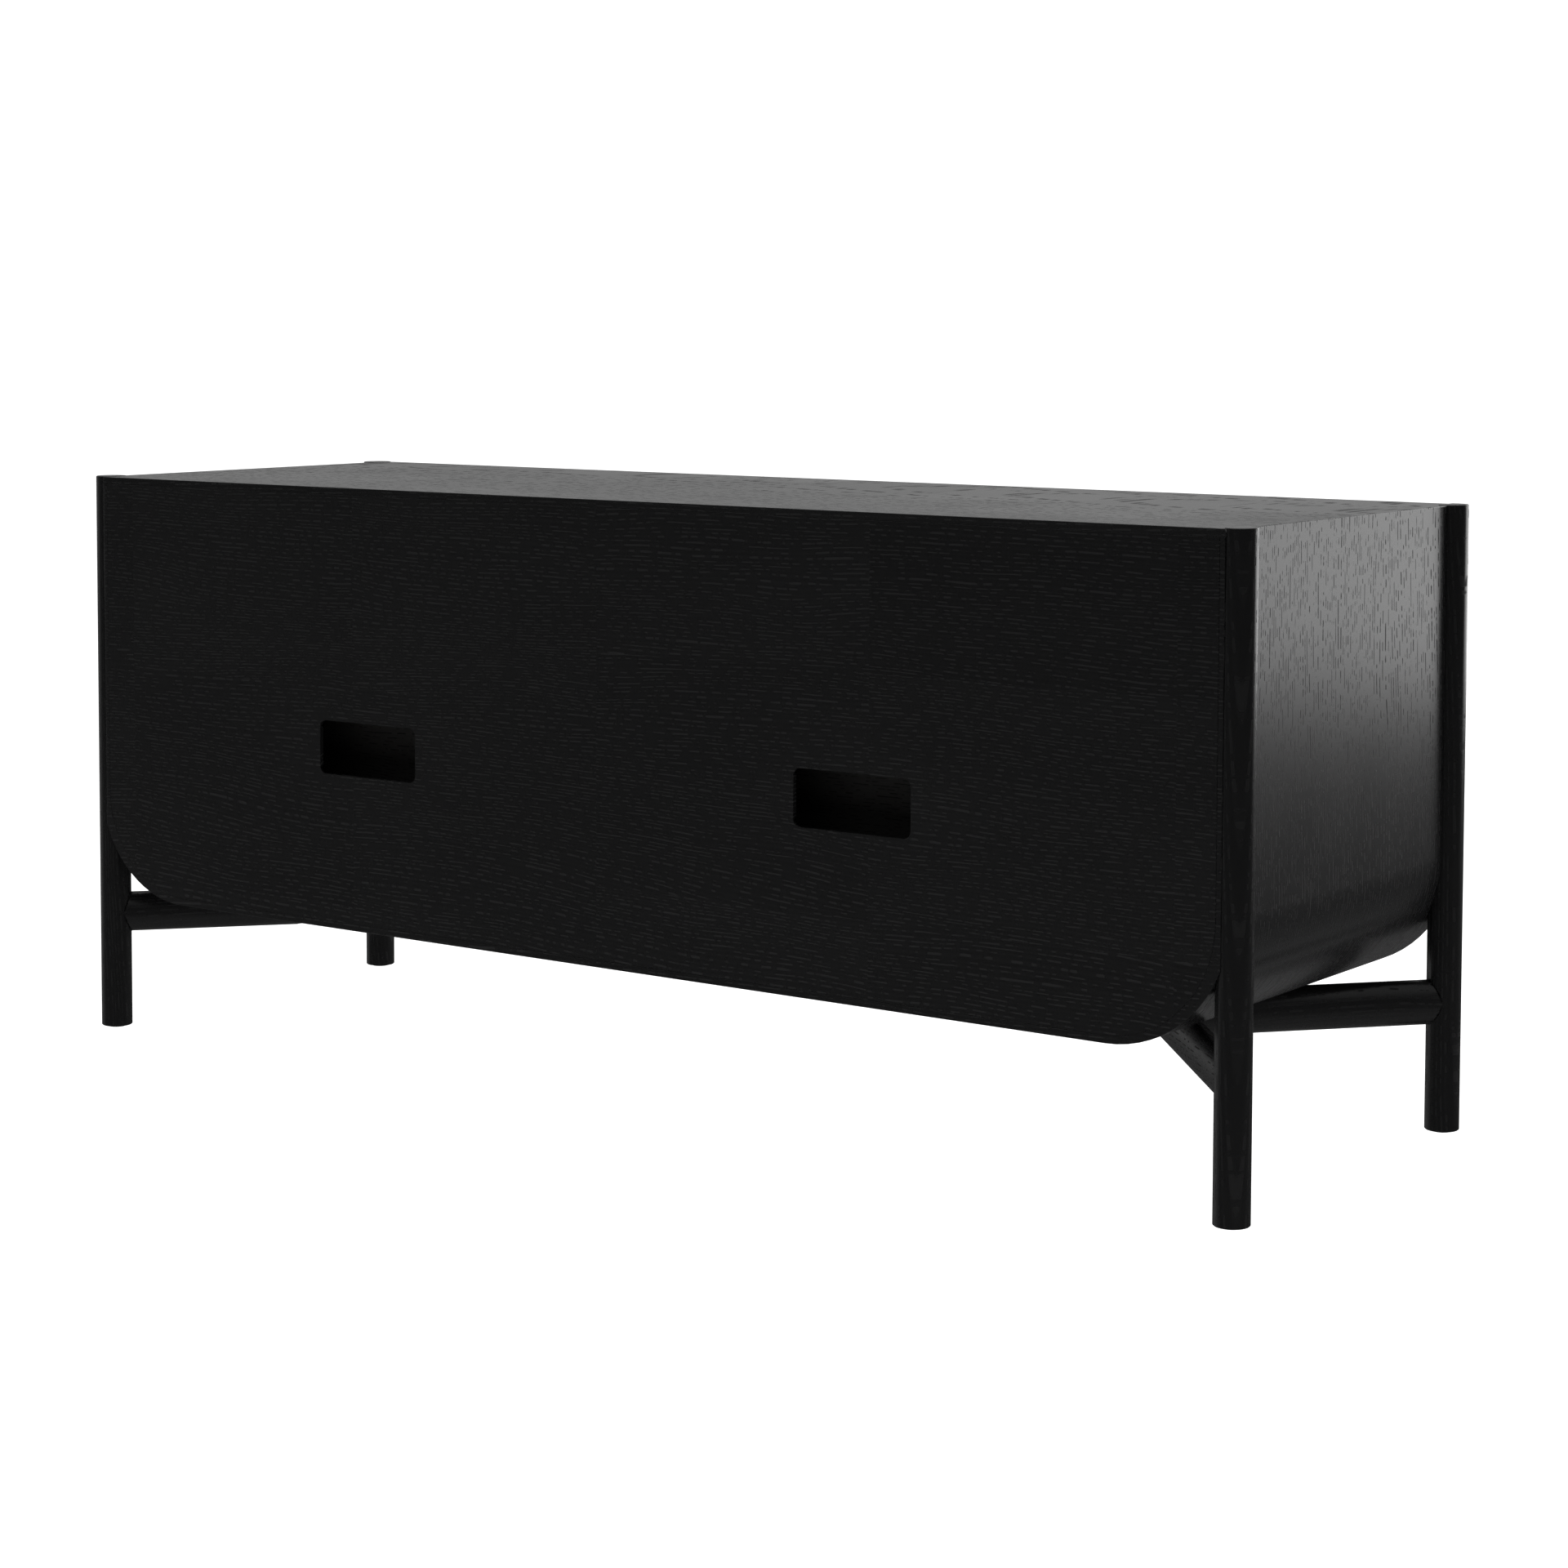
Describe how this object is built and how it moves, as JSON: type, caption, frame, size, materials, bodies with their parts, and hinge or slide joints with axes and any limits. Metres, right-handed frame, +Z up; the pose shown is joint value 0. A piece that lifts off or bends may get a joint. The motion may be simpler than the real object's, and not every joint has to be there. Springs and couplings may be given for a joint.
{
  "type": "drawer cabinet",
  "caption": "Low, wide drawer cabinet on round full-height legs, with a rounded U-shaped case, drawers on runners and a back with cable ports.",
  "frame": {"origin": "on the floor, at the centre of the footprint", "axes": "+X to the right when facing the drawers, +Y towards the back panel, +Z up; the drawers open towards -Y"},
  "size_m": [1.4, 0.455, 0.6],
  "materials": {
    "black_oak": "black-stained open-pore oak, satin",
    "drawer_box_wood": "dark-stained, matt",
    "runner_steel": "zinc-plated, satin",
    "black_steel": "black-coated screw steel",
    "beech": "plain beech, unfinished",
    "glide_nylon": "moulded, matt"
  },
  "bodies": {
    "case": {"back_panel": "black_oak", "back_panel_screws": "black_steel", "case_runner_screws": "runner_steel", "case_shell": "black_oak", "centre_partition": "black_oak", "leg_back_left": "black_oak", "leg_back_right": "black_oak", "leg_bolts": "black_steel", "leg_front_left": "black_oak", "leg_front_right": "black_oak", "leg_glides": "glide_nylon", "lower_left_case_runners": "runner_steel", "lower_right_case_runners": "runner_steel", "mitre_splines": "beech", "partition_dowels": "beech", "stretcher_back_left": "black_oak", "stretcher_back_right": "black_oak", "stretcher_dowels": "beech", "stretcher_front_left": "black_oak", "stretcher_front_right": "black_oak", "stretcher_screws": "black_steel", "top_panel": "black_oak", "upper_left_case_runners": "runner_steel", "upper_right_case_runners": "runner_steel"},
    "drawer_upper_left": {"upper_left_box_back": "drawer_box_wood", "upper_left_box_bottom": "drawer_box_wood", "upper_left_box_left": "drawer_box_wood", "upper_left_box_right": "drawer_box_wood", "upper_left_drawer_runners": "runner_steel", "upper_left_front": "black_oak", "upper_left_front_dowels": "beech", "upper_left_runner_screws": "runner_steel"},
    "middle_runners_upper_left": {"upper_left_middle_runners": "runner_steel"},
    "drawer_upper_right": {"upper_right_box_back": "drawer_box_wood", "upper_right_box_bottom": "drawer_box_wood", "upper_right_box_left": "drawer_box_wood", "upper_right_box_right": "drawer_box_wood", "upper_right_drawer_runners": "runner_steel", "upper_right_front": "black_oak", "upper_right_front_dowels": "beech", "upper_right_runner_screws": "runner_steel"},
    "middle_runners_upper_right": {"upper_right_middle_runners": "runner_steel"},
    "drawer_lower_left": {"lower_left_box_back": "drawer_box_wood", "lower_left_box_bottom": "drawer_box_wood", "lower_left_box_left": "drawer_box_wood", "lower_left_box_right": "drawer_box_wood", "lower_left_drawer_runners": "runner_steel", "lower_left_front": "black_oak", "lower_left_front_dowels": "beech", "lower_left_runner_screws": "runner_steel"},
    "middle_runners_lower_left": {"lower_left_middle_runners": "runner_steel"},
    "drawer_lower_right": {"lower_right_box_back": "drawer_box_wood", "lower_right_box_bottom": "drawer_box_wood", "lower_right_box_left": "drawer_box_wood", "lower_right_box_right": "drawer_box_wood", "lower_right_drawer_runners": "runner_steel", "lower_right_front": "black_oak", "lower_right_front_dowels": "beech", "lower_right_runner_screws": "runner_steel"},
    "middle_runners_lower_right": {"lower_right_middle_runners": "runner_steel"}
  },
  "joints": [
    {"name": "upper_left_drawer", "type": "slide", "parent": "case", "child": "drawer_upper_left", "axis": [0, -1, 0], "range_m": [0, 0.34]},
    {"name": "upper_right_drawer", "type": "slide", "parent": "case", "child": "drawer_upper_right", "axis": [0, -1, 0], "range_m": [0, 0.34]},
    {"name": "lower_left_drawer", "type": "slide", "parent": "case", "child": "drawer_lower_left", "axis": [0, -1, 0], "range_m": [0, 0.34]},
    {"name": "lower_right_drawer", "type": "slide", "parent": "case", "child": "drawer_lower_right", "axis": [0, -1, 0], "range_m": [0, 0.34]},
    {"name": "upper_left_middle_runner", "type": "slide", "parent": "case", "child": "middle_runners_upper_left", "axis": [0, -1, 0], "range_m": [0, 0.17]},
    {"name": "upper_right_middle_runner", "type": "slide", "parent": "case", "child": "middle_runners_upper_right", "axis": [0, -1, 0], "range_m": [0, 0.17]},
    {"name": "lower_left_middle_runner", "type": "slide", "parent": "case", "child": "middle_runners_lower_left", "axis": [0, -1, 0], "range_m": [0, 0.17]},
    {"name": "lower_right_middle_runner", "type": "slide", "parent": "case", "child": "middle_runners_lower_right", "axis": [0, -1, 0], "range_m": [0, 0.17]}
  ],
  "couplings": [
    {"joint": "upper_left_middle_runner", "follows": "upper_left_drawer", "ratio": 0.5},
    {"joint": "upper_right_middle_runner", "follows": "upper_right_drawer", "ratio": 0.5},
    {"joint": "lower_left_middle_runner", "follows": "lower_left_drawer", "ratio": 0.5},
    {"joint": "lower_right_middle_runner", "follows": "lower_right_drawer", "ratio": 0.5}
  ]
}
